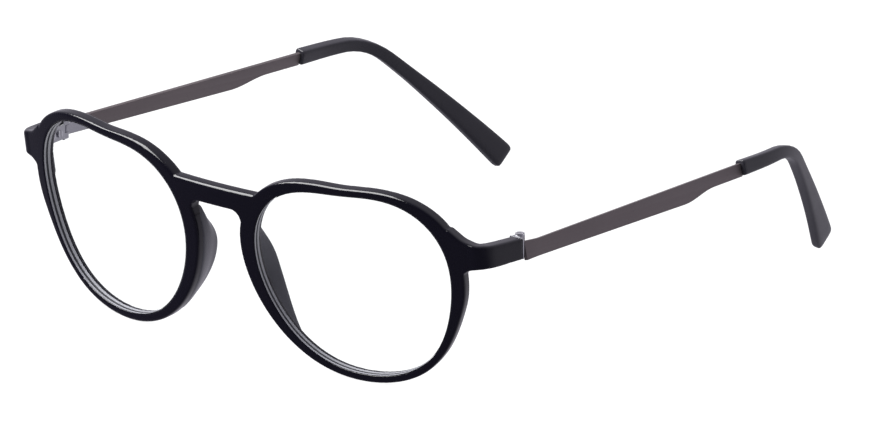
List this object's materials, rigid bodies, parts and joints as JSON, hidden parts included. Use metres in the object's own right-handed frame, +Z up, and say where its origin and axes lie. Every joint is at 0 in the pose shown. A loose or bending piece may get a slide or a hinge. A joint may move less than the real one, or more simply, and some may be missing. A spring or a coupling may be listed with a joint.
{
  "type": "eyeglasses",
  "caption": "Full-rim plastic eyeglasses with a keyhole bridge, built-up nose pads, clear lenses and flat metal temples that fold on screw hinges and end in curved plastic tips.",
  "frame": {"origin": "centre of the bounding box in plan, on the ground that the rims and the tips stand on", "axes": "+X to the wearer's left, +Y from the front towards the temple tips, +Z up"},
  "size_m": [0.1372, 0.1496, 0.0453],
  "materials": {
    "front_plastic": "polished black, softly rounded edges",
    "pad_plastic": "polished dark grey",
    "lens": "clear, polished both sides",
    "hinge_steel": "bright, lightly worn",
    "screw_steel": "bright turned steel",
    "temple_metal": "satin gunmetal brown",
    "tip_plastic": "smooth black"
  },
  "bodies": {
    "front": {"frame_front": "front_plastic", "lens_left": "lens", "lens_right": "lens", "nose_pad_left": "pad_plastic", "nose_pad_right": "pad_plastic", "front_hinge_left": "hinge_steel", "front_hinge_right": "hinge_steel", "hinge_screw_left": "screw_steel", "hinge_screw_right": "screw_steel", "mount_screws": "screw_steel"},
    "left_arm": {"temple_left": "temple_metal", "rear_hinge_left": "hinge_steel", "tip_left": "tip_plastic"},
    "right_arm": {"temple_right": "temple_metal", "rear_hinge_right": "hinge_steel", "tip_right": "tip_plastic"}
  },
  "joints": [
    {"name": "left_fold", "type": "hinge", "parent": "front", "child": "left_arm", "pos_m": [0.0657, -0.0499, 0.0333], "axis": [0, 0, 1], "range_deg": [0, 85]},
    {"name": "right_fold", "type": "hinge", "parent": "front", "child": "right_arm", "pos_m": [-0.0657, -0.0499, 0.0333], "axis": [0, 0, -1], "range_deg": [0, 80]}
  ]
}
